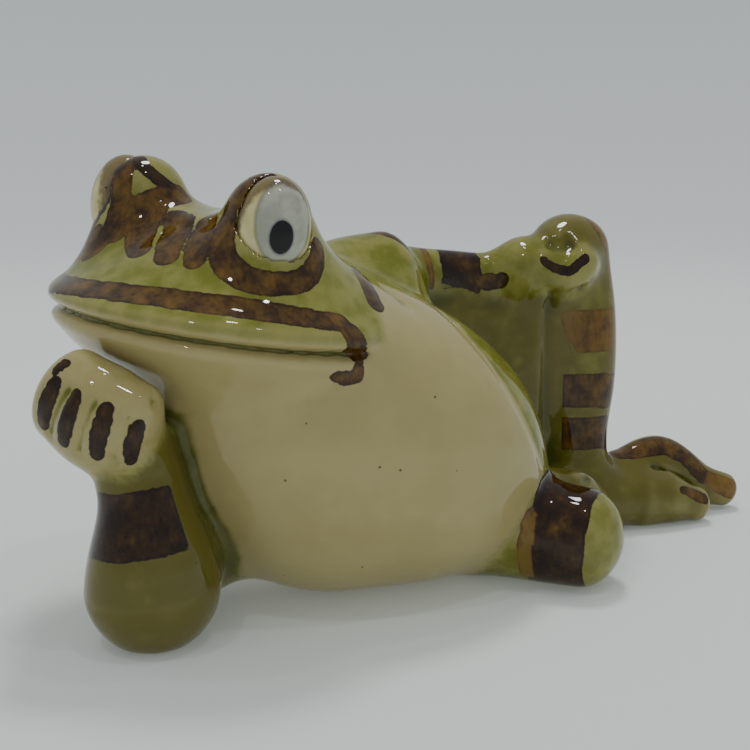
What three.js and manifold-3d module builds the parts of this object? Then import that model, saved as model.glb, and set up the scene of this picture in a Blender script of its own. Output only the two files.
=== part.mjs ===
// A reclining frog figurine in slip-cast, glazed earthenware. The frog lies on its right side with its
// belly to the front (-Y), its head at -X and its feet at +X, and rests its chin on its right fist.
// Each mesh is one casting of the maker's mould set. Units are millimetres, +Z is up.
import * as THREE from "three";
import { ParametricGeometry } from "three/addons/geometries/ParametricGeometry.js";
import { mergeVertices } from "three/addons/utils/BufferGeometryUtils.js";
import Module from "manifold-3d";

const wasm = await Module();
wasm.setup();

// ---- Driving dimensions ----------------------------------------------------------------------
const WALL = 4.5; // thickness of the slip left in the mould
const JOINT_GAP = 0.3; // slip joint between two castings
const VENT_RADIUS = 3.5; // kiln vent in the underside
const VENT_PLACE = [-20, -17.5, 0]; // where the vent leaves the underside
const NECK_RADIUS = 8; // opening between the hollow head and the hollow torso
const HEAD_CENTRE = [-43.5, -12.8, 66.5]; // middle of the line between the corners of the mouth
const HEAD_YAW = 30; // degrees that the snout turns from -X towards the front
const HEAD_ROLL = 5; // degrees that the head leans to its left
const HEAD_PITCH = 4; // degrees that the snout lifts
const EYEBALL = [8, 8.2, 11.6]; // half sizes of an eyeball: depth, width, height
const LEFT_EYE_TURN = 52; // degrees that an eye looks outwards from the snout
const RIGHT_EYE_TURN = 72;
const EYE_OUT = 5.3; // how far an eyeball sits outwards of the middle of its turret
const EYE_FORWARD = 9.6; // how far in front of the corners of the mouth a turret stands at eye level
const EYE_HEIGHT = 25.2; // height of an eyeball above the mouth
const ORIGIN = [10.86, -16.94, 0]; // middle of the figure's outline on the table, in the stations' frame

const CREAM = 0xb5a883;
const GREEN = 0x8d9049;
const OLIVE = 0x6f6a34;
const PEARL = 0xb9b8aa;

const deg = THREE.MathUtils.degToRad;

// ---- Sweeps ----------------------------------------------------------------------------------
// A limb is a row of stations [x, y, z, half width, half height]. The section is an ellipse whose
// height leans towards "up"; each end is closed by half an ellipsoid as long as its entry in caps.
// Sections stand square to the line, or square to "axis" for the short, fat parts that have one.
function sweepGeometry(spec) {
  const { stations, up = [0, 0, 1], axis, caps = [1, 1], grow = 0, across = 16, along = 6 } = spec;
  const line = new THREE.CatmullRomCurve3(
    stations.map((s) => new THREE.Vector3(s[0], s[1], s[2])), false, "catmullrom");
  const sizes = new THREE.CatmullRomCurve3(
    stations.map((s) => new THREE.Vector3(s[3] + grow, s[4] + grow, 0)), false, "catmullrom");
  const upward = new THREE.Vector3(...up);
  const capRows = Math.max(3, Math.round(across / 4));
  const rows = along + 2 * capRows;
  const centre = new THREE.Vector3();
  const size = new THREE.Vector3();
  const surface = (u, v, target) => {
    const row = v * rows;
    const t = THREE.MathUtils.clamp((row - capRows) / along, 0, 1);
    line.getPoint(t, centre);
    sizes.getPoint(t, size);
    const tangent = axis ? new THREE.Vector3(...axis) : line.getTangent(t);
    const side = new THREE.Vector3().crossVectors(upward, tangent).normalize();
    const height = new THREE.Vector3().crossVectors(tangent, side);
    const into = Math.max(0, capRows - row, row - capRows - along) / capRows;
    const turn = (into * Math.PI) / 2;
    const end = row < capRows ? 0 : 1;
    const reach = Math.max(caps[end] + grow, 0.5) * Math.sin(turn);
    centre.addScaledVector(tangent, end ? reach : -reach);
    const angle = u * 2 * Math.PI;
    const shrink = Math.cos(turn);
    target.copy(centre)
      .addScaledVector(side, size.x * shrink * Math.cos(angle))
      .addScaledVector(height, size.y * shrink * Math.sin(angle));
  };
  return new ParametricGeometry(surface, across, rows);
}

// A closed geometry as a manifold-3d solid, and back.
function solidOf(geometry, matrix = new THREE.Matrix4()) {
  const bare = new THREE.BufferGeometry();
  bare.setAttribute("position", geometry.getAttribute("position").clone());
  bare.setIndex(geometry.index);
  bare.applyMatrix4(matrix);
  const merged = mergeVertices(bare, 1e-3);
  const index = merged.index.array;
  const kept = [];
  for (let i = 0; i < index.length; i += 3) {
    const [a, b, c] = [index[i], index[i + 1], index[i + 2]];
    if (a !== b && b !== c && a !== c) kept.push(a, b, c);
  }
  return new wasm.Manifold(new wasm.Mesh({
    numProp: 3,
    vertProperties: new Float32Array(merged.getAttribute("position").array),
    triVerts: new Uint32Array(kept),
  }));
}

function geometryOf(solid) {
  const mesh = solid.getMesh();
  const geometry = new THREE.BufferGeometry();
  geometry.setAttribute("position", new THREE.BufferAttribute(new Float32Array(mesh.vertProperties), 3));
  geometry.setIndex(new THREE.BufferAttribute(new Uint32Array(mesh.triVerts), 1));
  geometry.computeVertexNormals();
  return geometry;
}

// ---- Frames ----------------------------------------------------------------------------------
const shift = new THREE.Matrix4().makeTranslation(-ORIGIN[0], -ORIGIN[1], -ORIGIN[2]);
// Head frame: x forwards to the snout, y to the frog's left, z up through the crown.
const headFrame = new THREE.Matrix4()
  .makeTranslation(...HEAD_CENTRE)
  .premultiply(shift)
  .multiply(new THREE.Matrix4().makeRotationZ(Math.PI + deg(HEAD_YAW)))
  .multiply(new THREE.Matrix4().makeRotationY(-deg(HEAD_PITCH)))
  .multiply(new THREE.Matrix4().makeRotationX(-deg(HEAD_ROLL)));

// All the sweeps of one casting joined, each grown by the same amount.
const casting = (specs, frame = shift) => (grow = 0) =>
  specs.map((spec) => solidOf(sweepGeometry({ ...spec, grow }), frame)).reduce((all, next) => all.add(next));

// ---- Torso -------------------------------------------------------------------------------------
const BELLY = {
  stations: [[-19, -17.5, 39.5, 37, 40], [-7, -17.5, 37, 37, 38], [5, -17.5, 34.5, 35, 35.5],
    [16, -17.5, 31.5, 31, 31.5], [26, -17.5, 28.5, 24.5, 25.5], [33, -17.5, 25.5, 16, 17],
    [36.5, -17.5, 24, 8, 9], [37.3, -17.5, 23.5, 1.5, 1.5]],
  axis: [1, 0, 0], caps: [42, 0.5], across: 36, along: 12,
};
const BELLY_HOLLOW = {
  stations: [[-19, -17.5, 39.5, 37, 40], [-9, -17.5, 36, 35.5, 36]],
  caps: [42, 40], across: 20, along: 2,
};
const SHOULDERS = {
  stations: [[-26, -2, 62, 16, 15], [-10, 1, 68, 15, 16], [4, 2, 70, 13, 16]],
  caps: [12, 9], along: 4,
};
const NECK = {
  stations: [[-42, -13, 64, NECK_RADIUS, NECK_RADIUS], [-28, -15, 46, NECK_RADIUS, NECK_RADIUS]],
  caps: [1, 1], along: 1,
};
const torso = casting([BELLY, SHOULDERS]);

// ---- Head --------------------------------------------------------------------------------------
const SKULL = {
  stations: [[7, 0, 0, 33, 39.5], [7, 0, 4, 34, 40.5], [6, 0, 9, 30, 37], [4, 0, 16, 23, 29],
    [3, 0, 23, 14, 20]],
  axis: [0, 0, 1], up: [0, 1, 0], caps: [1, 4], across: 28, along: 6,
};
const JAW = {
  stations: [[2, 0, -15, 20, 23], [4, 0, -9, 28, 33], [6, 0, -3, 32.5, 38.5], [6, 0, 2, 32.5, 38.5]],
  axis: [0, 0, 1], up: [0, 1, 0], caps: [4, 1], across: 28, along: 4,
};
const turret = (lateral) => ({
  stations: [[7, lateral, 8, 13, 15], [9, lateral, 18, 11.5, 13], [10, lateral, 28, 8.5, 10]],
  up: [1, 0, 0], caps: [8, 9], along: 4,
});
const LEFT_TURRET = 16;
const RIGHT_TURRET = -22.5;
const head = casting([SKULL, JAW, turret(LEFT_TURRET), turret(RIGHT_TURRET)], headFrame);

// An eyeball is an egg-shaped ball let into the outer side of its turret.
function eyeball(lateral, turned) {
  return (grow = 0) => {
    const ball = new THREE.SphereGeometry(1, 20, 12);
    ball.scale(EYEBALL[0] + grow, EYEBALL[1] + grow, EYEBALL[2] + grow);
    ball.translate(EYE_OUT, 0, 0);
    ball.rotateZ(deg(turned));
    ball.translate(EYE_FORWARD, lateral, EYE_HEIGHT);
    return solidOf(ball, headFrame);
  };
}
const leftEye = eyeball(LEFT_TURRET, LEFT_EYE_TURN);
const rightEye = eyeball(RIGHT_TURRET, -RIGHT_EYE_TURN);

// ---- Right arm, the prop under the chin ----------------------------------------------------------
const forearm = casting([{
  stations: [[-72, -37, 13, 13.5, 13.5], [-73, -37, 22, 12.5, 12.5], [-74, -36, 34, 9, 9.5],
    [-75, -35, 44, 8, 8.5]],
  up: [1, 0, 0], caps: [13.5, 6],
}]);
const upperArm = casting([{
  stations: [[-70, -32, 12, 11, 10.5], [-60, -22, 14, 10, 12], [-46, -12, 20, 11, 14]],
  caps: [10, 8], along: 4,
}]);
const fist = casting([{
  stations: [[-86, -29, 56, 9, 11], [-81, -35, 52, 10, 12], [-75, -40, 49, 8.5, 11]],
  caps: [6, 5], along: 4,
}]);

// ---- Left arm, laid along the body to the knee -----------------------------------------------------
const leftArm = casting([{
  stations: [[6, 8, 73, 8, 9], [24, 6, 73, 6.5, 7], [36, 4, 72, 6.5, 7], [45, 0, 74.5, 7, 7]],
  caps: [6, 3],
}]);
const leftHand = casting([
  { stations: [[46, 0, 74, 8.5, 8], [53, -3.5, 75.5, 7.5, 7.5]], caps: [5, 5], along: 2 },
  {
    stations: [[47, -6, 75, 4.5, 5], [52, -10, 73.5, 3.5, 4], [57, -11, 76.5, 3, 3]],
    caps: [3, 3], across: 12, along: 3,
  },
]);

// ---- Left leg, bent with the knee up ---------------------------------------------------------------
const thigh = casting([
  {
    stations: [[35, 5, 30, 13, 24], [46, 4, 50, 12, 18], [54, 2.5, 68, 10, 12], [60, 1.5, 80, 9, 9]],
    up: [1, 0, 0], caps: [10, 8],
  },
  { stations: [[22, 4, 58, 8, 9], [34, 4, 61, 8, 10], [46, 3, 64, 8, 10]], caps: [8, 6], along: 4 },
]);
const shank = casting([{
  stations: [[62, 1, 79, 9, 9], [64, -1, 62, 8.5, 10], [64, -2, 44, 8.5, 10], [62.5, -3, 28, 7.5, 9],
    [62, -4, 14, 9, 8.5]],
  up: [1, 0, 0], caps: [8, 8],
}]);
const toe = (stations) => ({ stations, caps: [4, 4], across: 12, along: 4 });
const leftFoot = casting([
  { stations: [[56, -6, 8, 12, 9], [72, -6, 8, 11.5, 9], [87, -6, 7.5, 12, 8]], caps: [8, 8], along: 3 },
  toe([[80, -12, 7, 6, 6.5], [90, -14, 6, 5.5, 5.5], [96, -15, 5, 5, 5]]),
  toe([[78, -3, 12, 7, 8], [91, -3, 15, 6, 8], [104, -6, 8, 5, 6], [112, -8, 5.5, 4.5, 5]]),
  toe([[78, 2, 8, 7, 6.5], [90, 8, 6, 5, 5.5], [98, 12, 5, 4.5, 5]]),
]);

// ---- Right leg, folded under the body --------------------------------------------------------------
const rightLeg = casting([{
  stations: [[20, -25, 13, 15, 13.5], [29, -37, 12.5, 13.5, 13], [36, -45, 12, 12.5, 12.5]],
  caps: [10, 10.5],
}]);
const rightFoot = casting([{
  stations: [[36, -24, 14, 10, 11.5], [46, -27, 15, 8, 10.5], [54, -25, 12, 7, 8.5]],
  caps: [6, 6],
}]);

// ---- Assembly --------------------------------------------------------------------------------------
const bench = solidOf(new THREE.BoxGeometry(400, 400, 60).translate(0, 0, -30));
const vent = solidOf(
  new THREE.CylinderGeometry(VENT_RADIUS, VENT_RADIUS, 30, 24).rotateX(Math.PI / 2).translate(...VENT_PLACE),
  shift);
const neck = casting([NECK])();
const coarse = (specs) => specs.map((spec) => ({ ...spec, across: 16, along: 5 }));
const bellyHollow = casting([BELLY_HOLLOW])(-WALL);
const headHollow = casting(coarse([SKULL, JAW]), headFrame)(-WALL);

const figure = new THREE.Group();
// A casting stands on the bench and gives way to the neighbours that are joined to it.
function add(name, colour, solid, neighbours, cuts = []) {
  const trimmed = [...neighbours.map((neighbour) => neighbour(JOINT_GAP)), ...cuts, bench]
    .reduce((rest, other) => rest.subtract(other), solid());
  const material = new THREE.MeshStandardMaterial({ color: colour, roughness: 0.2, metalness: 0 });
  const mesh = new THREE.Mesh(geometryOf(trimmed), material);
  mesh.name = name;
  figure.add(mesh);
}
add("torso", CREAM, torso, [head], [bellyHollow, neck, vent]);
add("head", GREEN, head, [leftEye, rightEye], [headHollow, neck]);
add("left_eyeball", PEARL, leftEye, []);
add("right_eyeball", PEARL, rightEye, []);
add("right_fist", CREAM, fist, [head]);
add("right_forearm", GREEN, forearm, [fist, torso, head]);
add("right_upper_arm", GREEN, upperArm, [forearm, torso, head]);
add("left_arm", GREEN, leftArm, [torso, head, leftHand]);
add("left_hand", GREEN, leftHand, [thigh, shank, torso]);
add("left_thigh", OLIVE, thigh, [torso, leftArm]);
add("left_shank", GREEN, shank, [thigh]);
add("left_foot", OLIVE, leftFoot, [shank, torso]);
add("right_leg", GREEN, rightLeg, [torso]);
add("right_foot", GREEN, rightFoot, [torso, rightLeg, thigh, leftFoot, shank]);

export default figure;
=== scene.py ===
# %% [markdown]
# # A reclining frog figurine in glazed earthenware
# The figure is slip cast: liquid clay is poured into plaster moulds, the castings are joined with slip
# while they are damp, the joins are sponged smooth, and the whole is painted, glazed and fired.
# This lesson does the same. The frame holds the plain castings. Here they are given their
# modelled surface, joined without a visible seam, painted with a brush and covered with glaze.

# %% Load the frame and bake each casting's place into its mesh
import math

import bpy
import numpy as np
import openvdb
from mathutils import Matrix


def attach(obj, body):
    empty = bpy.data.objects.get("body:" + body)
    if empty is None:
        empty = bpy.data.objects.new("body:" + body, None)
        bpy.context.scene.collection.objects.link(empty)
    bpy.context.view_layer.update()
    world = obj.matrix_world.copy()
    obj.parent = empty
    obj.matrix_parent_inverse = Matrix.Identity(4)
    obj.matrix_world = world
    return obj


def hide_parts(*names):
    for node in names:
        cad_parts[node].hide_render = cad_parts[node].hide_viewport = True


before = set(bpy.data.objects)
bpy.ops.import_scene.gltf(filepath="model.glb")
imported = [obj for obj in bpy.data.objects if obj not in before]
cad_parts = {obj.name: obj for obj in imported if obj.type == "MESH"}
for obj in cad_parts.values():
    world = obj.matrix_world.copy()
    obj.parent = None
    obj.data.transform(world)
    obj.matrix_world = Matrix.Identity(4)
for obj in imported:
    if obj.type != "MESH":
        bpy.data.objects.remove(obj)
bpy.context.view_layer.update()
print("castings in the frame:", sorted(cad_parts))

# %% [markdown]
# ## The castings as sweeps
# Each casting starts as a sweep: an ellipse whose size changes while it travels along a smooth line,
# closed at both ends by half an ellipsoid. A frog's limbs are easy to state this way, as a short row
# of stations with a place and two half sizes. Sculpting by hand would look alike but could not be
# repeated; metaballs give no control over a flat or a ridge. All sizes are in millimetres.

# %% Sizes that the whole figure shares
MM = 0.001
ORIGIN = np.array([10.86, -16.94, 0.0])  # the middle of the outline on the table, in the stations' frame
HEAD_CENTRE = np.array([-43.5, -12.8, 66.5])  # middle of the line between the corners of the mouth
HEAD_YAW, HEAD_ROLL, HEAD_PITCH = 30.0, 5.0, 4.0  # degrees
VOXEL = 0.76  # edge of one cell of the clay grid
BAND = 12.0  # distance from a surface up to which the grid knows it


def turn(axis, degrees):
    """Rotation matrix about one axis by the right-hand rule."""
    a = math.radians(degrees)
    c, s = math.cos(a), math.sin(a)
    i, j = [(1, 2), (2, 0), (0, 1)][axis]
    m = np.eye(3)
    m[i, i], m[i, j], m[j, i], m[j, j] = c, -s, s, c
    return m


HEAD_TURN = turn(2, 180 + HEAD_YAW) @ turn(1, -HEAD_PITCH) @ turn(0, -HEAD_ROLL)


def from_head(points):
    """Head frame (x to the snout, y to the frog's left, z to the crown) to the stations' frame."""
    return np.asarray(points, float) @ HEAD_TURN.T + HEAD_CENTRE


def to_head(points):
    """The reverse of from_head."""
    return (np.asarray(points, float) - HEAD_CENTRE) @ HEAD_TURN


# %% A smooth line through stations
def smooth_line(rows, t):
    """Uniform Catmull-Rom curve: between two stations a cubic whose slope at a station is half the
    step from the station before it to the one after it; beyond the ends the last step is repeated."""
    rows = np.asarray(rows, float)
    ext = np.vstack([2 * rows[0] - rows[1], rows, 2 * rows[-1] - rows[-2]])
    p = np.clip(np.asarray(t, float), 0, 1) * (len(rows) - 1)
    k = np.minimum(p.astype(int), len(rows) - 2)
    w = (p - k)[:, None]
    a, b, c, d = ext[k], ext[k + 1], ext[k + 2], ext[k + 3]
    m0, m1 = (c - a) / 2, (d - b) / 2
    return ((2 * w**3 - 3 * w**2 + 1) * b + (w**3 - 2 * w**2 + w) * m0
            + (3 * w**2 - 2 * w**3) * c + (w**3 - w**2) * m1)


def unit(v):
    return v / np.maximum(np.linalg.norm(v, axis=-1, keepdims=True), 1e-9)


def sweep_at(t, angle, stations, up=(0, 0, 1), caps=(1, 1), axis=None):
    """Points of a sweep. t runs from 0 to 1 along the line, and on to -1 or 2 over the rounded ends,
    where the line runs straight on by cap * sin(turn) and the ellipse shrinks by cos(turn)."""
    stations = np.asarray(stations, float)
    inner = np.clip(t, 0, 1)
    centre, size = np.split(smooth_line(stations, inner), [3], axis=1)
    step = 1e-4
    tangent = unit(smooth_line(stations[:, :3], np.minimum(inner + step, 1))
                   - smooth_line(stations[:, :3], np.maximum(inner - step, 0)))
    if axis is not None:
        tangent = np.tile(np.array(axis, float), (len(t), 1))
    side = unit(np.cross(np.array(up, float), tangent))
    height = np.cross(tangent, side)
    into = np.abs(t - inner) * (math.pi / 2)
    centre = centre + tangent * (np.where(t < 0, -caps[0], caps[1]) * np.sin(into))[:, None]
    size = size * np.maximum(np.cos(into), 1e-3)[:, None]
    if angle.ndim == 2:
        centre, side, height, size = (v[:, None, :] for v in (centre, side, height, size))
    angle = angle[..., None]
    return centre + side * size[..., :1] * np.cos(angle) + height * size[..., 1:] * np.sin(angle)


def sweep(across=72, along=48, **spec):
    """A sweep's points on a grid: row by row along the line, column by column round the ellipse."""
    n_cap = across // 4
    row = np.arange(along + 2 * n_cap + 1) - n_cap
    t = np.where(row < 0, row / n_cap, np.where(row > along, 1 + (row - along) / n_cap, row / along))
    return sweep_at(t, np.linspace(0, 2 * math.pi, across, endpoint=False)[None, :], **spec)


def grid_quads(rows, columns):
    """Corner numbers of the faces between neighbouring rows, with the last column joined to the first."""
    i, j = np.meshgrid(np.arange(rows - 1), np.arange(columns), indexing="ij")
    k = (j + 1) % columns
    return np.stack([i * columns + j, i * columns + k, (i + 1) * columns + k, (i + 1) * columns + j],
                    -1).reshape(-1, 4)


# %% [markdown]
# ## The clay as a field of distances
# To join two castings the way a sponge does, the surfaces have to flow into each other. A grid of
# distances does this well: each cell knows how far it is from a casting's surface, two grids are
# blended by a smooth minimum, and the figure's skin is where the blended distance is zero. A Boolean
# join would leave a sharp crease, and a remesh of joined parts would only blur it.

# %% The grid and how castings enter it
LOW = np.array([-108.0, -60.0, -4.0])
HIGH = np.array([119.5, 26.0, 110.0])
LOW_CELL = np.floor(LOW / VOXEL).astype(int)
SHAPE = tuple(np.ceil(HIGH / VOXEL).astype(int) - LOW_CELL)
print("clay grid:", SHAPE, "cells of", VOXEL, "mm")


def distance_field(points):
    """Signed distance in mm from the closed surface of one sweep, for every cell of the grid."""
    rows, columns = points.shape[:2]
    band = BAND / VOXEL
    grid = openvdb.FloatGrid.createLevelSetFromPolygons(
        np.ascontiguousarray(points.reshape(-1, 3), dtype=np.float32),
        quads=np.ascontiguousarray(grid_quads(rows, columns)[:, ::-1], dtype=np.uint32),
        transform=openvdb.createLinearTransform(voxelSize=VOXEL), halfWidth=band)
    out = np.empty(SHAPE, np.float32)
    grid.copyToArray(out, ijk=tuple(int(c) for c in LOW_CELL))
    return out


def smooth_min(a, b, k):
    """The lower of two distances, rounded where they are within k of each other: min - (k - gap)^2 / 4k."""
    gap = np.maximum(k - np.abs(a - b), 0)
    return np.minimum(a, b) - gap * gap * (0.25 / k)


# %% [markdown]
# ## The body, from the belly outwards
# On the real figure the belly is the biggest casting and everything else is joined to it. Every
# joint gets its own softness: the throat runs into the belly with no edge at all, a thigh lies
# against the belly with a tight crease, and a toe grows out of the foot with a small fillet.

# %% Stations of every casting: x, y, z, half width, half height
BELLY = dict(stations=[[-19, -17.5, 39.5, 37, 40], [-7, -17.5, 37, 37, 38], [5, -17.5, 34.5, 35, 35.5],
                       [16, -17.5, 31.5, 31, 31.5], [26, -17.5, 28.5, 24.5, 25.5], [33, -17.5, 25.5, 16, 17],
                       [36.5, -17.5, 24, 8, 9], [37.3, -17.5, 23.5, 1.5, 1.5]],
             axis=(1, 0, 0), caps=(42, 0.5))
SHOULDERS = dict(stations=[[-26, -2, 62, 16, 15], [-10, 1, 68, 15, 16], [4, 2, 70, 13, 16]], caps=(12, 9))
SKULL = dict(stations=[[7, 0, 0, 33, 39.5], [7, 0, 4, 34, 40.5], [6, 0, 9, 30, 37], [4, 0, 16, 23, 29],
                       [3, 0, 23, 14, 20]], axis=(0, 0, 1), up=(0, 1, 0), caps=(1, 4))
JAW = dict(stations=[[2, 0, -15, 20, 23], [4, 0, -9, 28, 33], [6, 0, -3, 32.5, 38.5],
                     [6, 0, 2, 32.5, 38.5]], axis=(0, 0, 1), up=(0, 1, 0), caps=(4, 1))
THROAT = dict(stations=[[-50, -22, 58, 20, 16], [-42, -22, 44, 24, 20], [-32, -20, 36, 24, 24]], up=(1, 0, 0),
              caps=(8, 8))


def turret(lateral):
    """The bump that carries one eye, in the head frame."""
    return dict(stations=[[7, lateral, 8, 13, 15], [9, lateral, 18, 11.5, 13], [10, lateral, 28, 8.5, 10]],
                up=(1, 0, 0), caps=(8, 9))


FOREARM = dict(stations=[[-71.5, -37, 13, 13, 13.5], [-72, -37, 22, 12, 12], [-73, -36, 34, 9, 9],
                         [-75, -35, 44, 8, 8.5]], up=(1, 0, 0), caps=(13.5, 6))
UPPER_ARM = dict(stations=[[-70, -32, 12, 11, 10.5], [-60, -22, 14, 10, 12], [-46, -12, 20, 11, 14]],
                 caps=(10, 8))
FIST = dict(stations=[[-86, -29, 56, 9, 11], [-81, -35, 52, 10, 12], [-75, -40, 49, 8.5, 11]], caps=(6, 5))
FINGERS = (0.03, 0.37, 0.73, 1.38)  # where the four fingers lie along the fist
STRIPE_LEAN = 0.07  # how far along the fist a finger has moved at its lower end
LEFT_ARM = dict(stations=[[6, 8, 73, 8, 9], [24, 6, 73, 6.5, 7], [36, 4, 72, 6.5, 7], [45, 0, 74.5, 7, 7]],
                caps=(6, 3))
PALM = dict(stations=[[46, 0, 73.5, 7.5, 7], [53, -3, 75, 7, 7]], caps=(5, 5))
FINGER = dict(stations=[[47, -6, 75, 4, 4.5], [52, -10, 73, 3.2, 3.8], [57, -11, 76.5, 2.8, 2.8]],
              caps=(3, 2.5))
THIGH = dict(stations=[[35, 5, 30, 13, 24], [46, 4, 50, 12, 18], [54, 2.5, 68, 10, 12], [60, 1.5, 80, 9, 9]],
             up=(1, 0, 0), caps=(10, 8))
THIGH_TOP = dict(stations=[[22, 4, 58, 8, 9], [34, 4, 61, 8, 10], [46, 3, 64, 8, 10]], caps=(8, 6))
SHANK = dict(stations=[[62, 1, 79, 9, 9], [64, -1, 62, 8.5, 9.8], [64, -2, 44, 8.5, 9.8],
                       [62.5, -3, 28, 7.5, 8.8], [62, -4, 14, 9, 8.5]], up=(1, 0, 0), caps=(8, 8))
SOLE = dict(stations=[[56, -6, 8, 12, 9], [72, -6, 8, 11.5, 9], [87, -6, 7.5, 12, 8]], caps=(8, 8))
NEAR_TOE = dict(stations=[[80, -12, 7, 6, 6.5], [90, -14, 6, 5.5, 5.5], [96, -15, 5, 5, 5]], caps=(4, 4))
MIDDLE_TOE = dict(stations=[[78, -3, 12, 7, 8], [91, -3, 15, 6, 8], [104, -6, 8, 5, 6],
                            [112, -8, 5.5, 4.5, 5]],
                  caps=(4, 4))
FAR_TOE = dict(stations=[[78, 2, 8, 7, 6.5], [90, 8, 6, 5, 5.5], [98, 12, 5, 4.5, 5]], caps=(4, 4))
RIGHT_LEG = dict(stations=[[20, -25, 13, 15, 13.5], [29, -37, 12.5, 13.5, 13], [36, -45, 12, 12.5, 12.5]],
                 caps=(10, 10.5))
RIGHT_FOOT = dict(stations=[[36, -24, 14, 10, 11], [45, -26, 14, 8, 9.5], [52, -24, 11, 6.5, 7.5]],
                  caps=(6, 5))

EYE_SIZE = np.array([8.0, 8.2, 11.6])  # half sizes of an eyeball: depth, width, height
EYE_TURN = {"left": 52.0, "right": -72.0}  # degrees that an eye looks to the left of the snout
EYE_OUT = 5.3  # how far a ball sits outwards of its turret's middle
TURRETS = {"left": 16.0, "right": -22.5}  # how far each turret stands to the left of the snout

# Every casting: its sweeps, each with the frame it is stated in and how softly it joins its own casting.
BODY_FRAME, HEAD_FRAME = (lambda p: p), from_head
CASTINGS = {
    "torso": [(BELLY, BODY_FRAME, 0), (SHOULDERS, BODY_FRAME, 9), (THROAT, BODY_FRAME, 10)],
    "head": [(SKULL, HEAD_FRAME, 0), (JAW, HEAD_FRAME, 3), (turret(TURRETS["left"]), HEAD_FRAME, 9),
             (turret(TURRETS["right"]), HEAD_FRAME, 9)],
    "right_forearm": [(FOREARM, BODY_FRAME, 0)],
    "right_upper_arm": [(UPPER_ARM, BODY_FRAME, 0)],
    "right_fist": [(FIST, BODY_FRAME, 0)],
    "left_arm": [(LEFT_ARM, BODY_FRAME, 0)],
    "left_hand": [(PALM, BODY_FRAME, 0), (FINGER, BODY_FRAME, 2)],
    "left_thigh": [(THIGH, BODY_FRAME, 0), (THIGH_TOP, BODY_FRAME, 5)],
    "left_shank": [(SHANK, BODY_FRAME, 0)],
    "left_foot": [(SOLE, BODY_FRAME, 0), (NEAR_TOE, BODY_FRAME, 4), (MIDDLE_TOE, BODY_FRAME, 5),
                  (FAR_TOE, BODY_FRAME, 4)],
    "right_leg": [(RIGHT_LEG, BODY_FRAME, 0)],
    "right_foot": [(RIGHT_FOOT, BODY_FRAME, 0)],
}
fields = {}
for name, sweeps in CASTINGS.items():
    for spec, place, softness in sweeps:
        field = distance_field(place(sweep(**spec)))
        fields[name] = smooth_min(fields[name], field, softness) if softness else field
    print(f"{name}: {(fields[name] < 0).sum() * VOXEL ** 3 / 1000:.0f} cm3 of clay before the joins")

# %% Join them, each at its own softness
JOINS = [("head", 11), ("right_upper_arm", 9), ("right_forearm", 9), ("right_fist", 2.5), ("left_thigh", 5),
         ("left_shank", 6), ("left_arm", 5), ("left_hand", 9), ("left_foot", 6), ("right_leg", 5),
         ("right_foot", 4)]
clay = fields["torso"]
for name, softness in JOINS:
    clay = smooth_min(clay, fields[name], softness)
print("clay in the figure:", round(float((clay < 0).sum()) * VOXEL**3 / 1000), "cm3")

# %% [markdown]
# ## Eyeballs and their sockets
# Each eye is its own egg-shaped ball of clay, pressed into the outer side of its bump. An ellipsoid
# gives its surface exactly. The same shape, a hair larger, is cut out of the head, so the ball sits
# in a socket and a fine line runs round it, where the brown paint collects.

# %% Two pressed-in balls
def eyeball(side, grow=0.0):
    """Ellipsoid: half sizes times (sin u cos v, sin u sin v, cos u), u running from pole to pole.
    Gives its points in the stations' frame and in its own."""
    u = np.linspace(0.01, math.pi - 0.01, 97)[:, None]
    v = np.linspace(0, 2 * math.pi, 128, endpoint=False)[None, :]
    local = np.stack([np.sin(u) * np.cos(v), np.sin(u) * np.sin(v), np.cos(u) * np.ones_like(v)], -1)
    local = local * (EYE_SIZE + grow)
    placed = (local + [EYE_OUT, 0, 0]) @ turn(2, EYE_TURN[side]).T
    return from_head(placed + [9.6, TURRETS[side], 25.2]), local


def closed_ball(rows, columns):
    """The faces between the rows, and a fan of four-cornered faces over each pole's small ring."""
    fan = np.stack([np.zeros(columns // 2 - 1, int), np.arange(1, columns - 1, 2), np.arange(2, columns, 2),
                    np.arange(3, columns + 1, 2) % columns], -1)
    return np.vstack([grid_quads(rows, columns), fan[:, ::-1], fan + (rows - 1) * columns])


SOCKET_DEPTH = 1.2  # how deep the head is cut where a ball sits
sockets = {}
for side in TURRETS:
    sockets[side] = distance_field(eyeball(side, 0.15)[0])
    clay = np.maximum(clay, np.minimum(-sockets[side], clay + SOCKET_DEPTH))
print("socket walls stand", SOCKET_DEPTH, "mm high round each ball")

# %% [markdown]
# ## Tooling the clay
# A modeller presses lines into the damp figure with a wooden tool: the mouth, the fold behind the
# knee, the gaps between the toes. Pressing is a small push of the field near a path: inside a
# distance of one width the clay sinks by the depth, and it fades as a bell curve.

# %% Press lines and raise beads
AXES = [(np.arange(n) + LOW_CELL[i]) * VOXEL for i, n in enumerate(SHAPE)]
near = np.nonzero(np.abs(clay) < 4.0)
near_points = np.stack([AXES[i][near[i]] for i in range(3)], -1)
near_clay = clay[near]
print("cells near the skin:", len(near_clay))


def to_line(points, line, chunk=60000):
    """Distance from every point to a row of close samples on a smooth line, and the place along it."""
    samples = smooth_line(line, np.linspace(0, 1, 16 * len(line)))
    best = np.empty(len(points))
    where = np.empty(len(points))
    for a in range(0, len(points), chunk):
        d = ((points[a:a + chunk, None, :] - samples[None]) ** 2).sum(-1)
        k = d.argmin(1)
        best[a:a + chunk] = np.sqrt(d[np.arange(len(k)), k])
        where[a:a + chunk] = k / (len(samples) - 1)
    return best, where


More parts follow.
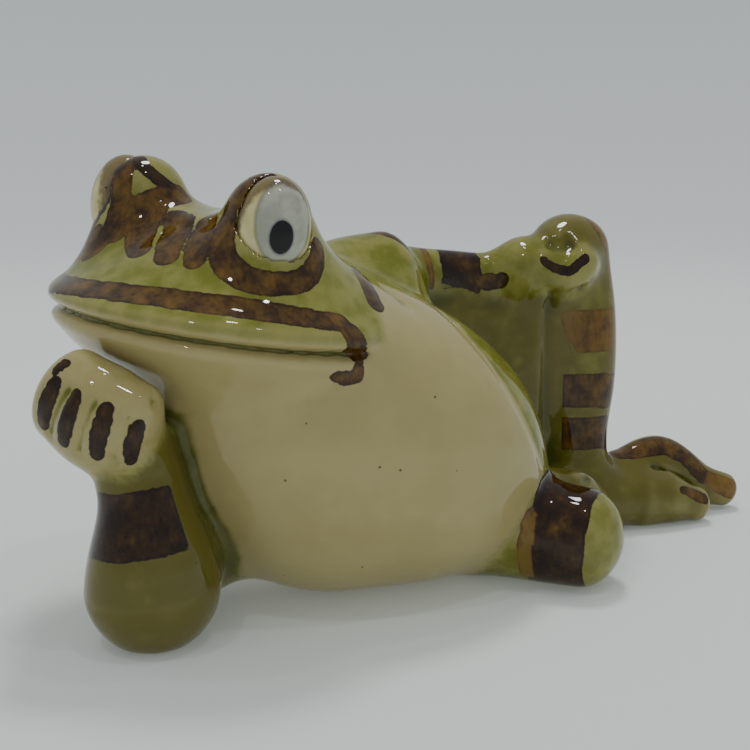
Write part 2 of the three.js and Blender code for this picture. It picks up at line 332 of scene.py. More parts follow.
def press(line, depth, width):
    """Sink the clay by depth * exp(-(distance / width)^2) along a line, fading out at the line's ends.
    A negative depth raises a bead."""
    line = np.asarray(line, float)
    close = np.nonzero(((near_points > line.min(0) - 3 * width) & (near_points < line.max(0) + 3 * width))
                       .all(1))[0]
    distance, along = to_line(near_points[close], line)
    fade = np.clip(np.minimum(along, 1 - along) * 8, 0, 1)
    near_clay[close] += depth * fade * np.exp(-((distance / width) ** 2))


PRESSES = {
    "behind the knee": ([[48.5, -8, 69], [48.5, -8, 60], [48.5, -8, 52], [49, -7, 39],
                         [50, -6, 28]], 1.9, 1.5),
    "hollow over the finger": ([[48, -6, 82.5], [51.5, -8.5, 81.5], [55.5, -9, 82.5]], 1.4, 2.2),
    "under the finger": ([[46, -9, 69], [52, -12, 68.5], [58, -11, 71]], 0.9, 1.6),
    "under the arm": ([[4, -13, 62], [14, -8, 63], [26, -4, 65], [36, -5, 66]], 1.6, 1.8),
    "arm from the shoulder": ([[9, -8, 82], [10, -10, 74], [7, -13, 64]], 1.4, 1.7),
    "edge of the flank": ([[2, -25, 71], [9.5, -38, 60], [18, -44, 45], [27, -42, 26]], 0.35, 1.6),
    "behind the head": ([[-14, -26, 84], [-9, -30, 74], [-7, -36, 64]], 0.9, 3.0),
    "near toe gap": ([[82, -9, 16], [90, -10, 13], [99, -11.5, 8]], 1.5, 1.4),
    "far toe gap": ([[80, 2, 18], [90, 3, 14], [102, 3, 9]], 1.3, 1.5),
    "hip crease": ([[24, -46, 26], [32, -38, 28], [40, -33, 27]], 1.2, 1.3),
    "folded toes, first": ([[35, -30, 26], [41, -29, 25.5], [46, -25, 24]], 1.3, 1.0),
    "folded toes, second": ([[40, -35, 22], [45, -32, 22], [50, -26, 20]], 1.3, 1.0),
    "beside the fist": ([[-72, -45.5, 57.5], [-71.5, -45, 56.5], [-71.5, -44.5, 55.5]], 2.4, 1.0),
    "thumb": ([[-71, -48, 44], [-67, -47, 42], [-64, -43, 41]], 0.9, 1.2),
    "wrist": ([[-82, -43, 41], [-75, -46, 39.5], [-67, -44, 39]], 0.8, 1.6),
}

# The mouth: a sheet pressed into the front of the head, with a rolled lip above and below it.
MOUTH_RISE = 0.045  # how much higher the mouth lies for each mm towards the snout
head_points = to_head(near_points)
above_mouth = head_points[:, 2] - 0.4 - MOUTH_RISE * head_points[:, 0]
torso_near, head_near = fields["torso"][near], fields["head"][near]
on_head = np.clip((head_points[:, 0] + 5) / 9, 0, 1) * np.clip((torso_near - head_near) / 3, 0, 1)
for offset, depth, width in ((0, 2.0, 1.0), (3.8, -0.9, 2.5), (-3.4, -0.5, 2.0)):
    near_clay += on_head * depth * np.exp(-(((above_mouth - offset) / width) ** 2))

for line, depth, width in PRESSES.values():
    press(line, depth, width)
for finger, following in zip(FINGERS, FINGERS[1:]):  # a crease halfway between two fingers
    halfway = np.full(5, (finger + following + STRIPE_LEAN) / 2)
    press(sweep_at(halfway, np.radians(np.linspace(140, 215, 5)), **FIST), 1.5, 1.15)

# %% Flatten what stands on the bench, and take the skin
clay[near] = near_clay
clay = np.maximum(clay, -AXES[2][None, None, :].astype(np.float32))


def skin_of(field):
    """Corner points and four-cornered faces of the surface where a field is zero."""
    grid = openvdb.FloatGrid(BAND)
    grid.copyFromArray(field, ijk=tuple(int(c) for c in LOW_CELL))
    grid.transform = openvdb.createLinearTransform(voxelSize=VOXEL)
    points, quads = grid.convertToQuads(0.0)
    return points.astype(float), quads.astype(np.int64)


points, quads = skin_of(clay)
print("skin:", len(points), "points,", len(quads), "faces")


# %% Smooth the skin as a damp sponge does
def neighbours_of(quads, count):
    """Both ends of every edge, each edge once."""
    edges = np.sort(np.vstack([quads[:, [i, (i + 1) % 4]] for i in range(4)]), axis=1)
    return np.unique(edges[:, 0] * count + edges[:, 1])[:, None] // np.array([count, 1]) % count


def mean_of_neighbours(values, edges, count):
    """For every point, the mean of the values at the points it shares an edge with."""
    total = np.zeros_like(values)
    for a, b in ((0, 1), (1, 0)):
        for c in range(values.shape[1]):
            total[:, c] += np.bincount(edges[:, a], values[edges[:, b], c], count)
    return total / np.maximum(np.bincount(edges.ravel(), minlength=count), 1)[:, None]


edges = neighbours_of(quads, len(points))
for _ in range(3):
    for step in (0.5, -0.52):  # a shrinking step, then a growing one, so the size stays
        points += step * (mean_of_neighbours(points, edges, len(points)) - points)
points[:, 2] = np.maximum(points[:, 2], 0)


def face_normals(points, quads):
    a, b, c, d = (points[quads[:, i]] for i in range(4))
    return np.cross(c - a, d - b)


def point_normals(points, quads):
    """At every point, the sum of the normals of its faces, made one long."""
    n = face_normals(points, quads)
    total = np.zeros_like(points)
    for i in range(4):
        for c in range(3):
            total[:, c] += np.bincount(quads[:, i], n[:, c], len(points))
    return unit(total)


normals = point_normals(points, quads)
outward = ((points - points.mean(0)) * normals).sum(1).mean()
if outward < 0:
    quads, normals = quads[:, ::-1].copy(), -normals
print("mean height of the normals over the middle:", round(abs(outward), 1), "mm")

# %% [markdown]
# ## Brush strokes on the clay
# The markings are oxide paint put on with a loaded brush. A stroke is a short row of places on one
# casting: how far along its sweep, how many degrees round it, and half the brush width in mm there.
# Each point of the skin then learns how deep inside the nearest stroke it lies. Painting a picture
# and wrapping it on would need an unwrapped skin; distances need none and stay sharp at any size.

# %% Where the decorator put the brush
EYE_BUMP = {side: turret(TURRETS[side]) for side in TURRETS}
DARK, MIDDLE, RUSTY = 0.15, 0.5, 0.9  # how thick the paint lies: thick is nearly black, thin is rust brown
ROUND, SQUARE = "round ends", "square ends"

def band(t, start, end, half):
    """Straight round a limb: t stays, and the angle goes evenly from start to end."""
    angle = np.linspace(start, end, 4)
    return np.stack([np.full(4, t), angle, np.full(4, half)], -1)


def dab(start, end, half):
    """One pull of the brush between two places (t, angle), widest in the middle."""
    u = np.linspace(0, 1, 4)[:, None]
    places = np.array(start) * (1 - u) + np.array(end) * u
    return np.hstack([places, half * (0.75 + 0.25 * np.sin(np.pi * u))])


def arc(middle, reach, start, end, half):
    """Part of an oval round middle: t + reach_t * cos(phi), angle + reach_angle * sin(phi)."""
    phi = np.radians(np.linspace(start, end, 9))
    thick = half * (0.65 + 0.35 * np.sin(np.linspace(0, np.pi, 9)))
    return np.stack([middle[0] + reach[0] * np.cos(phi), middle[1] + reach[1] * np.sin(phi), thick], -1)


def lip_line():
    """The upper lip: t = 0.41 + 0.10 cos(1.6 (angle - 32)), thinner towards both corners."""
    angle = np.linspace(-84, 84, 13)
    return np.stack([0.41 + 0.10 * np.cos(np.radians(1.6 * (angle - 32))), angle,
                     3.2 - 0.6 * (angle / 84) ** 2], -1)


LEFT_BUMP, RIGHT_BUMP = EYE_BUMP["left"], EYE_BUMP["right"]
ON_HEAD = [
    ("lip", SKULL, MIDDLE, lip_line()),
    ("corner of the mouth", SKULL, MIDDLE, dab((0.40, 84), (0.12, 93), 2.9)),
    ("hook below the lip", JAW, MIDDLE, arc((0.85, 88), (0.2, 11), 45, 215, 2.1)),
    ("hook on the right", JAW, MIDDLE, arc((0.8, -82), (0.2, -10), 20, 190, 1.9)),
    ("round the left eye", LEFT_BUMP, MIDDLE, arc((1.05, 140), (0.75, 68), 0, -240, 3.3)),
    ("round the right eye", RIGHT_BUMP, MIDDLE, arc((1.05, 14), (0.75, 50), 30, 235, 2.8)),
    ("right eyelid", RIGHT_BUMP, MIDDLE, arc((0.95, 84), (0.7, 21), 10, 165, 2.7)),
    ("back of the right bump", RIGHT_BUMP, DARK, dab((1.85, 112), (0.95, 198), 1.8)),
    ("brow, outer dab", RIGHT_BUMP, MIDDLE, dab((0.6, 82), (0.25, 68), 2.6)),
    ("brow, far dab", SKULL, MIDDLE, dab((1.0, -68), (0.8, -42), 3.8)),
    ("brow, first dab", SKULL, MIDDLE, dab((1.0, -48), (0.77, -14), 4.0)),
    ("brow, second dab", SKULL, MIDDLE, dab((1.2, -20), (0.77, 4), 4.0)),
    ("brow, third dab", SKULL, MIDDLE, dab((1.15, 14), (0.77, 20), 3.9)),
    ("crown, left", SKULL, MIDDLE, dab((0.95, 150), (0.6, 165), 3.2)),
    ("crown, right", SKULL, MIDDLE, dab((0.95, -150), (0.6, -165), 3.2)),
]
ROUND_LIMBS = [  # square-ended bands: casting, thickness of paint, t, first and last angle, half width
    ("arm band", LEFT_ARM, DARK, band(0.38, 70, 205, 5.7)),
    ("shank, upper band", SHANK, RUSTY, band(0.32, 130, 245, 6.0)),
    ("shank, middle band", SHANK, MIDDLE, band(0.56, 130, 245, 4.8)),
    ("shank, lower band", SHANK, MIDDLE, band(0.75, 130, 240, 4.6)),
    ("right knee band", RIGHT_LEG, DARK, band(0.82, 60, 240, 7.1)),
    ("forearm band", FOREARM, DARK, band(0.54, 200, 390, 7.2)),
]
ON_BODY = [
    ("behind the head", BELLY, MIDDLE, band(-0.02, 110, 127, 2.6)),
    ("crest of the shoulder", SHOULDERS, MIDDLE, dab((0.9, 92), (1.45, 132), 1.8)),
    ("cuff", LEFT_ARM, RUSTY, band(0.19, 80, 195, 1.0)),
    ("below the arm band", LEFT_ARM, MIDDLE, dab((0.52, 183), (0.78, 183), 2.4)),
    ("finger", FINGER, DARK, dab((0.0, 152), (1.15, 150), 1.4)),
    ("edge of the knee", SHANK, RUSTY, arc((-0.3, 120), (0.47, 36), 180, 10, 1.8)),
    ("knuckle", MIDDLE_TOE, MIDDLE, dab((-0.1, 96), (0.6, 150), 3.6)),
    ("toe tip", MIDDLE_TOE, RUSTY, dab((0.68, 150), (1.2, 170), 3.0)),
    ("near toe", NEAR_TOE, MIDDLE, dab((0.45, 130), (1.1, 150), 1.8)),
    ("far toe", FAR_TOE, MIDDLE, dab((0.2, 90), (1.0, 90), 2.2)),
    ("right knee, second coat", RIGHT_LEG, RUSTY, band(0.56, 150, 220, 2.8)),
    ("knuckle spot", FIST, DARK, dab((-0.08, 124), (-0.12, 140), 1.3)),
] + [("finger stripe", FIST, DARK, dab((t, 150), (t + STRIPE_LEAN, 204), 2.0)) for t in FINGERS] + [
    # Nothing fixes the marks on the back: three loose stripes, in the same brush.
    ("back stripe", BELLY, MIDDLE, dab((t, 52), (t + 0.02, -6), 3.4)) for t in (0.02, 0.28, 0.52)]
STROKES = ([(name, spec, from_head, thin, ROUND, rows) for name, spec, thin, rows in ON_HEAD]
           + [(name, spec, BODY_FRAME, thin, SQUARE, rows) for name, spec, thin, rows in ROUND_LIMBS]
           + [(name, spec, BODY_FRAME, thin, ROUND, rows) for name, spec, thin, rows in ON_BODY])


def nearest_on_skin(places, chunk=8):
    """Number of the skin point nearest to each place."""
    found = [((points[None] - places[a:a + chunk, None]) ** 2).sum(-1).argmin(1)
             for a in range(0, len(places), chunk)]
    return np.concatenate(found)


def inside_stroke(spec, place, ends, rows):
    """How deep, in mm, every skin point lies inside one stroke; negative outside it. A round end is
    half width minus distance; a square end also asks how far the point lies from the stroke's end."""
    rows = np.asarray(rows, float)
    line = smooth_line(rows, np.linspace(0, 1, 12 * len(rows)))
    skin_ids = nearest_on_skin(place(sweep_at(line[:, 0], np.radians(line[:, 1]), **spec)))
    samples, facing, half = points[skin_ids], normals[skin_ids], line[:, 2]
    samples[1:-1] = (samples[:-2] + samples[1:-1] * 2 + samples[2:]) / 4
    reach = half.max() + 3.5
    near = np.nonzero(((points > samples.min(0) - reach) & (points < samples.max(0) + reach)).all(1))[0]
    offset = points[near, None] - samples[None]
    distance = np.sqrt((offset**2).sum(-1))
    distance += 50 * ((normals[near] @ facing.T) < -0.1)  # a thin limb's far side is not painted through
    k = distance.argmin(1)
    depth = half[k] - distance[np.arange(len(near)), k]
    if ends == SQUARE:
        run = np.concatenate([[0], np.cumsum(np.linalg.norm(np.diff(samples, axis=0), axis=1))])
        direction = unit(np.gradient(samples, axis=0))
        along = (offset[np.arange(len(near)), k] * direction[k]).sum(1)
        across = np.sqrt(np.maximum(distance[np.arange(len(near)), k] ** 2 - along**2, 0))
        place_on_run = run[k] + along
        depth = np.minimum(half[k] - across, np.minimum(place_on_run, run[-1] - place_on_run))
    full = np.full(len(points), -3.0)
    full[near] = np.maximum(depth, -3.0)
    return full


paint = np.full(len(points), -3.0)
thinness = np.full(len(points), 0.5)
for name, spec, place, thin, ends, rows in STROKES:
    depth = inside_stroke(spec, place, ends, rows)
    on_top = depth > np.maximum(paint, -2.9)
    thinness[on_top] = thin
    paint = np.maximum(paint, depth)
print(len(STROKES), "strokes cover", round(100 * float((paint > 0).mean())), "% of the skin")

# %% [markdown]
# ## Where the glaze is cream, where it is green, and where it pools
# The belly and the throat stay cream; the fist gets only a light green wash, which is painted shade,
# and the rest had a green wash, its olive deepest on the forearm, partly as painted shade. Molten glaze
# also runs into hollows and thins on ridges, which is most of what makes it look like glaze, and the
# darker green in the creases is partly painted shade. A hollow is found by sponging the skin in
# thought: where the averaged surface lies outside the real one.

# %% Wash, pooling and painted shade at every skin point
def between(low, high, value):
    """0 below low, 1 above high, and 3u^2 - 2u^3 in between."""
    u = np.clip((value - low) / (high - low), 0, 1)
    return u * u * (3 - 2 * u)


point_cell = tuple(np.clip(np.rint(points[:, i] / VOXEL).astype(int) - LOW_CELL[i], 0, SHAPE[i] - 1)
                   for i in range(3))
depths = {name: fields[name][point_cell] for name in CASTINGS}
in_head = to_head(points)
x, y, z = points.T
behind_contour = (0.885 * x + 0.144 * y + 0.443 * z) - 29.4  # the flank behind the belly's outline
torso_wash = np.max([between(-0.5, 2.5, behind_contour), between(-4, 10, y + 0.1 * x),
                     between(66, 76, z + 0.25 * (y + 15) + 0.1 * x)], axis=0)
head_wash = between(1.0, 4.0, in_head[:, 2] - MOUTH_RISE * in_head[:, 0])
head_wash *= 1 - 0.4 * between(14, 24, in_head[:, 2])  # thinner on the bumps, where it ran down
head_wash = np.maximum(head_wash, between(0, -10, in_head[:, 0]) * between(-14, -4, in_head[:, 2]))
nearness = {name: np.exp(-np.maximum(depths[name] + 1, 0) / 1.2) for name in CASTINGS}
# The fist's light wash is raised to 0.34 as painted shade: it darkens the cream fist, which lies in shade.
wash_and_shade_of = {"torso": torso_wash, "head": head_wash, "right_fist": np.full(len(points), 0.34)}
total = sum(nearness.values())
wash_and_shade = sum(nearness[name] * wash_and_shade_of.get(name, 1.0) for name in CASTINGS) / np.maximum(total, 1e-9)
# The forearm's olive of 1.0 is partly its own olive green and partly painted shade.
olive_and_shade_of = {"left_thigh": 0.9, "left_foot": 0.9, "left_arm": 0.35, "left_shank": 0.7, "right_forearm": 1.0,
            "right_upper_arm": 0.8, "right_foot": 0.8, "right_leg": 0.35, "torso": 0.2, "left_hand": 0.35}
olive_and_shade = sum(nearness[name] * olive_and_shade_of.get(name, 0.1) for name in CASTINGS) / np.maximum(total, 1e-9)

hollow = np.zeros(len(points))
averaged = points.copy()
for rounds in (6, 18):
    for _ in range(rounds):
        averaged = mean_of_neighbours(averaged, edges, len(points))
    hollow += ((averaged - points) * normals).sum(1)
print(f"deepest hollow {hollow.max():.2f} mm, sharpest ridge {-hollow.min():.2f} mm")
SKIN_VALUES = {"paint": paint, "thinness": thinness, "wash_and_shade": wash_and_shade, "olive_and_shade": olive_and_shade, "hollow": hollow}

# %% [markdown]
# ## Cutting the skin back into castings
# The seams vanish on the fired figure, but a part library wants its pieces. So the skin is divided
# by the casting that each face lies nearest to, and each share gets an inner wall and a rim. Two
# neighbours use the same points and the same normals along their seam, so the glaze runs across it.

# %% Which casting a face belongs to
WALL = {"torso": 4.0, "head": 4.0}
THIN_WALL = 2.4
names = list(CASTINGS)
middles = points[quads].mean(1)
cell = tuple(np.clip(np.rint(middles[:, i] / VOXEL).astype(int) - LOW_CELL[i], 0, SHAPE[i] - 1)
             for i in range(3))
owner = np.argmin([fields[name][cell] for name in names], axis=0)


def wall_depth(wanted):
    """How far in the inner wall can lie: of a few depths, the largest at which the clay is still solid,
    that is where the field has sunk by at least six tenths of the way. Then evened out."""
    depth = np.full(len(points), 0.3)
    for share in (0.2, 0.35, 0.5, 0.7, 0.85, 1.0):
        inside = points - normals * (share * wanted)[:, None]
        at = tuple(np.clip(np.rint(inside[:, i] / VOXEL).astype(int) - LOW_CELL[i], 0, SHAPE[i] - 1)
                   for i in range(3))
        solid = (clay[at] < -0.6 * share * wanted) & (depth >= 0.3)
        depth = np.where(solid, share * wanted, depth)
    for _ in range(6):
        depth = np.minimum(depth, mean_of_neighbours(depth[:, None], edges, len(points))[:, 0])
    return depth


def castings_shell(name):
    """The casting's share of the skin, its copy one wall further in, and a rim round the open edge."""
    own = quads[owner == names.index(name)]
    used, flat = np.unique(own, return_inverse=True)
    own = flat.reshape(-1, 4)
    outer, normal = points[used], normals[used]
    inner = outer - normal * np.minimum(solid_depth[used], WALL.get(name, THIN_WALL))[:, None]
    count = len(used)
    sides = np.vstack([own[:, [i, (i + 1) % 4]] for i in range(4)])
    key = np.sort(sides, axis=1) @ np.array([count, 1])
    _, first, times = np.unique(key, return_index=True, return_counts=True)
    rim = sides[first[times == 1]]
    rim = np.stack([rim[:, 1], rim[:, 0], rim[:, 0] + count, rim[:, 1] + count], -1)
    return (np.vstack([outer, inner]), np.vstack([own, own[:, ::-1] + count, rim]),
            np.vstack([normal, -normal]), used, len(rim))


def add_piece(name, corners, faces):
    """A mesh object in metres, at the origin, unturned, with smooth faces."""
    mesh = bpy.data.meshes.new(name)
    placed = ((corners - ORIGIN) * MM).astype(np.float32)
    mesh.vertices.add(len(placed))
    mesh.vertices.foreach_set("co", placed.ravel())
    mesh.loops.add(faces.size)
    mesh.loops.foreach_set("vertex_index", faces.astype(np.int32).ravel())
    mesh.polygons.add(len(faces))
    mesh.polygons.foreach_set("loop_start", (np.arange(len(faces)) * faces.shape[1]).astype(np.int32))
    mesh.update(calc_edges=True)
    mesh.validate()
    mesh.polygons.foreach_set("use_smooth", np.ones(len(mesh.polygons), bool))
    piece = bpy.data.objects.new(name, mesh)
    bpy.context.scene.collection.objects.link(piece)
    return piece


solid_depth = wall_depth(np.full(len(points), WALL["torso"]))
print(f"thinnest wall {solid_depth.min():.2f} mm, mean {solid_depth.mean():.2f} mm")


def store(piece, name, values):
    """Keep one number per corner point on the mesh, for its material to read."""
    piece.data.attributes.new(name, "FLOAT", "POINT").data.foreach_set("value", values.astype(np.float32))


pieces = {}
for name in names:
    corners, faces, normal, used, rim_count = castings_shell(name)
    piece = add_piece(name + "_glazed", corners, faces)
    loop_normals = normal[faces.ravel()]
    rim_normals = unit(face_normals(corners, faces[-rim_count:]))
    loop_normals[-4 * rim_count:] = np.repeat(rim_normals, 4, axis=0)
    piece.data.normals_split_custom_set(loop_normals.tolist())
    for value, at_points in SKIN_VALUES.items():
        store(piece, value, np.tile(at_points[used], 2))
    pieces[name] = piece
    print(f"{name}: {2 * len(faces)} triangles, rim of {rim_count} edges")

# %% [markdown]
# ## Writing a material as sums
# A glaze is arithmetic on noise: it reads more plainly as sums than as a drawing of boxes. One small
# class wraps a socket so that +, -, * and / lay down maths nodes, and one method makes any other
# node. Noise is read at the point's place on the object in mm, so grain has a true size everywhere.

# %% A socket that can be added and multiplied
class Value:
    """One number that flows through a material."""

    def __init__(self, graph, socket):
        self.graph, self.socket = graph, socket

    def maths(self, operation, *others):
        sockets = self.graph.node("ShaderNodeMath", {"operation": operation},
                                  dict(enumerate((self, *others))))
        return Value(self.graph, sockets.outputs[0])

    def __add__(self, other):
        return self.maths("ADD", other)

    def __sub__(self, other):
        return self.maths("SUBTRACT", other)

    def __rsub__(self, other):
        return self.maths("MULTIPLY_ADD", -1.0, other)

    def __mul__(self, other):
        return self.maths("MULTIPLY", other)

    def __truediv__(self, other):
        return self.maths("DIVIDE", other)

    __radd__, __rmul__ = __add__, __mul__

    def between(self, low, high):
        """0 at low, 1 at high, smooth in between; low may be the larger one."""
        node = self.graph.node("ShaderNodeMapRange", {"interpolation_type": "SMOOTHSTEP", "clamp": True},
                               {"Value": self, "From Min": low, "From Max": high})
        return Value(self.graph, node.outputs["Result"])


class Graph:
    """The nodes of one material."""

    def __init__(self, name):
        self.material = bpy.data.materials.new(name)
        self.material.use_nodes = True
        self.tree = self.material.node_tree
        self.shader = self.tree.nodes["Principled BSDF"]
        place = self.node("ShaderNodeTexCoord").outputs["Object"]
        self.place = self.node("ShaderNodeVectorMath", {"operation": "SCALE"},
                               {0: place, "Scale": 1 / MM}).outputs[0]

    def node(self, kind, settings=None, inputs=None):
        """A node of one kind: its settings are set first, then values are given or links laid."""
        node = self.tree.nodes.new(kind)
        for key, value in (settings or {}).items():
            setattr(node, key, value)
        for key, value in (inputs or {}).items():
            self.feed(node.inputs[key], value)
        return node

    def feed(self, socket, value):
        value = value.socket if isinstance(value, Value) else value
        if isinstance(value, bpy.types.NodeSocket):
            self.tree.links.new(value, socket)
        else:
            socket.default_value = value

    def noise(self, size, detail=3.0, rough=0.55, stretch=(1, 1, 1), shift=0.0):
        """Noise whose lumps are about size mm wide; stretch makes them longer along an axis."""
        at = self.node("ShaderNodeMapping", {"vector_type": "TEXTURE"},
                       {"Vector": self.place, "Scale": stretch, "Location": (shift, shift, shift)}).outputs[0]
        node = self.node("ShaderNodeTexNoise", {}, {"Vector": at, "Scale": 1 / size, "Detail": detail,
                                                    "Roughness": rough})
        return Value(self, node.outputs["Fac"])

    def stored(self, name):
        node = self.node("ShaderNodeAttribute", {"attribute_name": name})
        return Value(self, node.outputs["Fac"])

    def mix(self, first, second, factor):
        """First colour where the factor is 0, second where it is 1. Colours may be plain rgb."""
        node = self.node("ShaderNodeMix", {"data_type": "RGBA"}, {"Factor": factor})
        for socket, colour in ((node.inputs[6], first), (node.inputs[7], second)):
            self.feed(socket, (*colour, 1.0) if isinstance(colour, tuple) else colour)
        return node.outputs[2]

    def ramp(self, value, stops):
        """A colour that passes through the stops (place, rgb) as the value grows."""
        node = self.node("ShaderNodeValToRGB", {}, {"Fac": value})
        while len(node.color_ramp.elements) < len(stops):
            node.color_ramp.elements.new(0.5)
        for element, (place, colour) in zip(node.color_ramp.elements, stops):
            element.position = place
            element.color = (*colour, 1.0)
        return node.outputs["Color"]

    def finish(self, colour, roughness, height):
        """Join the results to the shader. Height is in mm."""
        self.feed(self.shader.inputs["Base Color"], colour)
        self.feed(self.shader.inputs["Roughness"], roughness)
        bump = self.node("ShaderNodeBump", {}, {"Height": height, "Distance": MM, "Strength": 1.0})
        self.feed(self.shader.inputs["Normal"], bump.outputs[0])
        for name, value in (("Coat Weight", 1.0), ("Coat Roughness", 0.035), ("Coat IOR", 1.42),
                            ("Specular IOR Level", 0.0)):
            self.shader.inputs[name].default_value = value
        return self.material


# %% [markdown]
# ## The glazed skin
# One clear glaze covers everything, so the gloss is the same all over and only what lies under it
# changes: a cream body, a green wash that is yellow where thin and olive where thick, and brown
# oxide. Part of this colour is painted shade: the wash on the fist, the deepest olive on the forearm
# and the dark green in creases. The oxide's edge is ragged where bristles lifted, and darker where
# the wet paint stopped.

# %% Glaze over cream, green and brown
CREAM = (0.45, 0.378, 0.168)
WARM_CREAM = (0.425, 0.355, 0.155)
LIGHT_GREEN = (0.285, 0.27, 0.062)
LEAF_GREEN = (0.185, 0.195, 0.018)
OLIVE_GREEN = (0.125, 0.105, 0.013)
# Pooled glaze in hollows, made darker as painted shade for the creases.
POOL_AND_SHADE_GREEN = (0.075, 0.080, 0.014)
OXIDE = [(0.0, (0.014, 0.004, 0.001)), (0.3, (0.048, 0.020, 0.003)), (0.6, (0.110, 0.055, 0.008)),
         (1.0, (0.21, 0.105, 0.014))]


def glazed_skin():
    g = Graph("glazed_skin")
    fine, grain, patch, cloud = g.noise(0.45, 4), g.noise(1.3, 3), g.noise(5.0, 3), g.noise(16.0, 2)
    hollow = g.stored("hollow")
    # Green wash over cream; on the fist the wash is painted shade, and on the forearm the deepest olive is
    # partly painted shade.
    wash_and_shade = g.stored("wash_and_shade") + (patch - 0.5) * 0.35 + (cloud - 0.5) * 0.25
    # More green in hollows: pooled glaze, and partly painted shade in the creases.
    wash_and_shade = wash_and_shade + hollow.between(0.05, 0.6) * 0.5
    cream = g.mix(CREAM, WARM_CREAM, (cloud + (patch - 0.5) * 0.5).between(0.35, 0.65))
    # The stored olive is deepest on the forearm, partly as painted shade.
    thick = g.stored("olive_and_shade") + (cloud - 0.5) * 0.9 + (patch - 0.5) * 0.7
    green = g.mix(LIGHT_GREEN, LEAF_GREEN, (patch * 0.6 + cloud * 0.4).between(0.38, 0.60))
    green = g.mix(green, OLIVE_GREEN, thick.between(0.15, 1.0))
    colour = g.mix(cream, green, wash_and_shade.between(0.18, 0.85))
    # Glaze is deeper in hollows and thinner on ridges; the dark green in creases is partly pooled glaze and
    # partly painted shade.
    pooled_and_shaded = (hollow + (patch - 0.5) * 0.15).between(0.12, 0.75)
    colour = g.mix(colour, POOL_AND_SHADE_GREEN, pooled_and_shaded * 0.75)
    colour = g.mix(colour, CREAM, hollow.between(-0.25, -0.9) * 0.35)
    # Brown oxide.
    depth = g.stored("paint") + (fine - 0.5) * 0.35 + (grain - 0.5) * 0.4 + (patch - 0.5) * 0.3
    covered = depth.between(-0.14, 0.14)
    streak = g.noise(1.1, 3, 0.6, stretch=(1, 1, 6))
    tone = g.stored("thinness") + (patch - 0.5) * 1.5 + (streak - 0.5) * 0.55 + (grain - 0.5) * 0.35
    tone = tone - depth.between(0.9, 0.1) * 0.22
    oxide = g.ramp(tone.between(-0.15, 1.15), OXIDE)
    colour = g.mix(colour, oxide, covered * (1.0 - tone.between(0.75, 1.3) * 0.45))
    # Specks that rise through the glaze, a few to the square centimetre.
    cells = g.node("ShaderNodeTexVoronoi", {"feature": "F1"}, {"Vector": g.place, "Scale": 1 / 5.0})
    chance = g.node("ShaderNodeSeparateColor", {}, {"Color": cells.outputs["Color"]})
    size = Value(g, chance.outputs[0]).between(0.62, 1.0) * 0.075
    speck = (size - Value(g, cells.outputs["Distance"])).between(0.0, 0.02)
    colour = g.mix(colour, (0.05, 0.035, 0.012), speck * 0.8)
    # The surface: slow waves in the glaze, brush marks and grit where there is oxide.
    height = (g.noise(7.0, 2) - 0.5) * 0.09 + (g.noise(2.6, 2) - 0.5) * 0.018
    height = height + covered * ((fine - 0.5) * 0.035 + (grain - 0.5) * 0.06 + 0.03) - speck * 0.03
    rough = 0.42 + (patch - 0.5) * 0.15 + covered * 0.1
    return g.finish(colour, rough, height)


skin_glaze = glazed_skin()

# %% [markdown]
# ## The eyes
# The balls are covered with a pearly white that stops short of the lower rim, where the cream body
# shows as a crescent. The pupil is one round touch of black with a soft blue-grey edge.

# %% Pearl, crescent and pupil
def eye_glaze():
    g = Graph("eye_glaze")
    wide, high = g.stored("eye_wide"), g.stored("eye_high")
    patch, cloud, fine = g.noise(1.6, 3), g.noise(5.0, 2), g.noise(0.4, 3)
    wobble = (patch - 0.5) * 0.06

    def oval(centre, half):
        """Distance from an oval's middle, 1 at its edge."""
        across, up = (wide - centre[0]) / half[0], (high - centre[1]) / half[1]
        return (across * across + up * up).maths("SQRT")

    pearl = oval((0.7, 1.9), (6.2, 9.0)) + wobble
    pupil = oval((0.2, -0.9), (2.6, 3.6)) + wobble
    white = g.mix((0.50, 0.50, 0.40), (0.38, 0.38, 0.31), (cloud + (patch - 0.5) * 0.4).between(0.35, 0.65))
    crescent = g.mix((0.80, 0.72, 0.38), (0.66, 0.58, 0.26), cloud.between(0.35, 0.65))
    colour = g.mix(crescent, white, pearl.between(1.03, 0.95))
    colour = g.mix(colour, (0.20, 0.20, 0.13), (pearl.between(0.90, 0.99) * pearl.between(1.08, 1.0)) * 0.6)
    edge = oval((0.2, -0.9), (8.2, 11.0))
    colour = g.mix(colour, (0.10, 0.055, 0.015), (edge + wobble * 2).between(0.93, 1.02) * 0.8)
    colour = g.mix(colour, (0.16, 0.18, 0.20), pupil.between(1.22, 1.0) * 0.8)
    colour = g.mix(colour, (0.004, 0.004, 0.005), pupil.between(1.04, 0.96))
    height = (cloud - 0.5) * 0.05 + (fine - 0.5) * 0.004
    return g.finish(colour, 0.4 + (patch - 0.5) * 0.1, height)


pearl_glaze = eye_glaze()

# %% Dress the pieces
for name in names:
    pieces[name].data.materials.append(skin_glaze)
for side in TURRETS:
    ball, local = eyeball(side)
    rows, columns = ball.shape[:2]
    piece = add_piece(side + "_eyeball_glazed", ball.reshape(-1, 3), closed_ball(rows, columns))
    store(piece, "eye_wide", math.copysign(1, EYE_TURN[side]) * local[..., 1].ravel())
    store(piece, "eye_high", local[..., 2].ravel())
    piece.data.materials.append(pearl_glaze)
    pieces[side + "_eyeball"] = piece
    print(side, "eyeball:", rows * columns, "points")

# %% [markdown]
# ## Stage, light and camera
# Glaze is seen by what it reflects, so the set is a wide, shallow dish of pale card under an open
# sky: no edge or corner shows from any side. A soft lamp overhead gives the shadow under the belly,
# and three small ones leave the bright points that make glaze look wet.

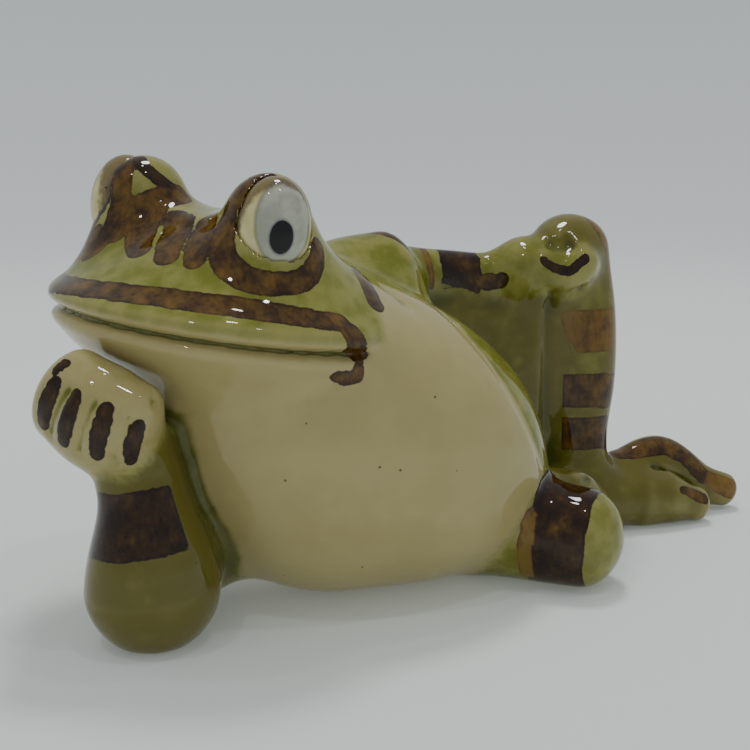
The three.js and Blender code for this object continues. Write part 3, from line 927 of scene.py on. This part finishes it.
# %% A dish of pale card
def dish():
    """A profile turned round the z axis: a flat floor that bends up to a slope and runs on."""
    bend = np.radians(np.linspace(0, 36, 20))
    radius = np.concatenate([[0.001, 0.4, 0.75], 0.9 + 1.2 * np.sin(bend)])
    height = np.concatenate([[0, 0, 0], 1.2 * (1 - np.cos(bend))])
    radius = np.append(radius, radius[-1] + 2.0)
    height = np.append(height, height[-1] + 2.0 * math.tan(bend[-1]))
    v = np.linspace(0, 2 * math.pi, 128, endpoint=False)
    corners = np.stack([radius[:, None] * np.cos(v), radius[:, None] * np.sin(v),
                        height[:, None] * np.ones_like(v)], -1).reshape(-1, 3)
    return corners / MM + ORIGIN, grid_quads(len(radius), 128)[:, ::-1]


stage = add_piece("card_dish", *dish())
card = bpy.data.materials.new("pale_card")
card.use_nodes = True
shader = card.node_tree.nodes["Principled BSDF"]
shader.inputs["Base Color"].default_value = (0.78, 0.81, 0.795, 1)
shader.inputs["Emission Color"].default_value = (0.93, 1.0, 0.98, 1)
shader.inputs["Emission Strength"].default_value = 0.11
shader.inputs["Roughness"].default_value = 0.9
shader.inputs["Specular IOR Level"].default_value = 0.2
stage.data.materials.append(card)


def lamp(name, place, size, power):
    """A round area light that points at the figure's middle."""
    light = bpy.data.lights.new(name, "AREA")
    light.shape = "DISK"
    light.size = size
    light.energy = power
    holder = bpy.data.objects.new(name, light)
    holder.location = place
    aim = np.array([0, 0, 0.05]) - np.array(place)
    holder.rotation_euler = (math.acos(-aim[2] / np.linalg.norm(aim)), 0, math.atan2(-aim[0], aim[1]))
    bpy.context.scene.collection.objects.link(holder)


lamp("overhead", (0.20, 0.38, 1.15), 0.26, 4.6)
lamp("spark_left", (-0.42, -0.22, 0.95), 0.05, 0.5)
lamp("spark_right", (0.10, -0.30, 1.00), 0.05, 0.5)
lamp("spark_back", (0.05, 0.10, 1.10), 0.06, 0.4)
sky = bpy.data.worlds.new("room")
sky.use_nodes = True
sky.node_tree.nodes["Background"].inputs["Color"].default_value = (0.93, 0.98, 1.0, 1)
sky.node_tree.nodes["Background"].inputs["Strength"].default_value = 0.46
bpy.context.scene.world = sky

camera = bpy.data.cameras.new("visitor")
camera.sensor_width = 36.0
camera.lens = 60.96
eye_level = bpy.data.objects.new("visitor", camera)
AZIMUTH, DISTANCE, HEIGHT, LOOK_DOWN = -25.0, 330.0, 112.0, 10.92
sight = np.array([-math.sin(math.radians(AZIMUTH)), math.cos(math.radians(AZIMUTH)), 0])
eye_level.location = ((-DISTANCE * sight + np.array([0, 0, HEIGHT]) - ORIGIN) * MM).tolist()
eye_level.rotation_euler = (math.radians(90 - LOOK_DOWN), 0, math.radians(AZIMUTH))
bpy.context.scene.collection.objects.link(eye_level)
bpy.context.scene.camera = eye_level

# %% Tie the pieces to the frame
for name, piece in pieces.items():
    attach(piece, "root")
    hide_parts(name)
